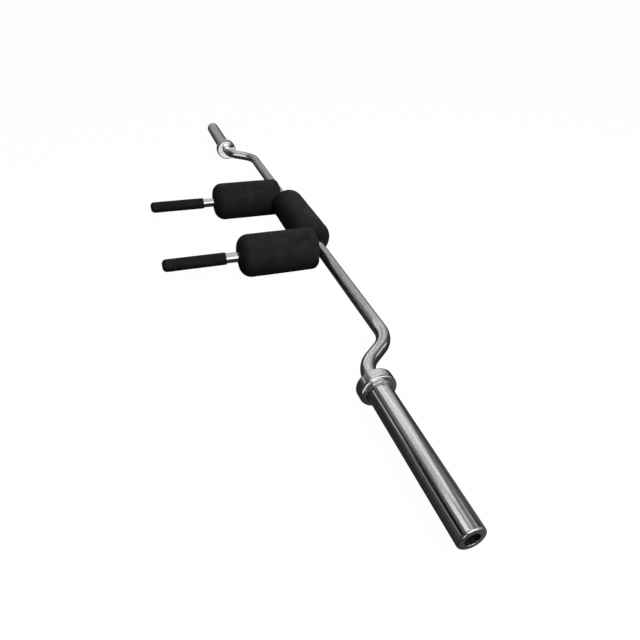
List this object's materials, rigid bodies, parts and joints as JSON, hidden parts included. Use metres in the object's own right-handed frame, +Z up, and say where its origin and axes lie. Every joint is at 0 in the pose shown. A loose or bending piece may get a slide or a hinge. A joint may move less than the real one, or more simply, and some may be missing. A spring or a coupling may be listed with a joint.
{
  "type": "safety squat barbell",
  "caption": "Cambered barbell with turning plate sleeves, forward handles with rubber grips, and foam pads for the shoulders and neck.",
  "frame": {"origin": "on the floor that the bar lies on, under the middle of its whole outline", "axes": "+X along the bar towards the lifter's left sleeve, -Y the way the handles point, +Z up"},
  "size_m": [2.2, 0.486, 0.1185],
  "materials": {
    "shaft_chrome": "satin",
    "sleeve_chrome": "polished",
    "handle_chrome": "polished",
    "bronze": "satin",
    "zinc_steel": "satin",
    "grip_rubber": "matte",
    "pad_cover": "matte",
    "pad_foam": "matte"
  },
  "bodies": {
    "bar": {"shaft": "shaft_chrome", "left_handle_tube": "handle_chrome", "right_handle_tube": "handle_chrome", "left_grip": "grip_rubber", "right_grip": "grip_rubber", "left_shoulder_foam": "pad_foam", "right_shoulder_foam": "pad_foam", "neck_foam": "pad_foam", "left_shoulder_cover": "pad_cover", "right_shoulder_cover": "pad_cover", "neck_cover": "pad_cover", "left_thrust_washer": "zinc_steel", "right_thrust_washer": "zinc_steel", "left_retaining_washer": "zinc_steel", "right_retaining_washer": "zinc_steel", "left_end_bolt": "zinc_steel", "right_end_bolt": "zinc_steel"},
    "left_plate_carrier": {"left_sleeve": "sleeve_chrome", "left_collar": "sleeve_chrome", "left_inner_bush": "bronze", "left_outer_bush": "bronze"},
    "right_plate_carrier": {"right_sleeve": "sleeve_chrome", "right_collar": "sleeve_chrome", "right_inner_bush": "bronze", "right_outer_bush": "bronze"}
  },
  "joints": [
    {"name": "left_sleeve_spin", "type": "hinge", "parent": "bar", "child": "left_plate_carrier", "pos_m": [0.782, 0.1035, 0.0545], "axis": [1, 0, 0], "continuous": true},
    {"name": "right_sleeve_spin", "type": "hinge", "parent": "bar", "child": "right_plate_carrier", "pos_m": [-0.782, 0.1035, 0.0545], "axis": [1, 0, 0], "continuous": true}
  ]
}
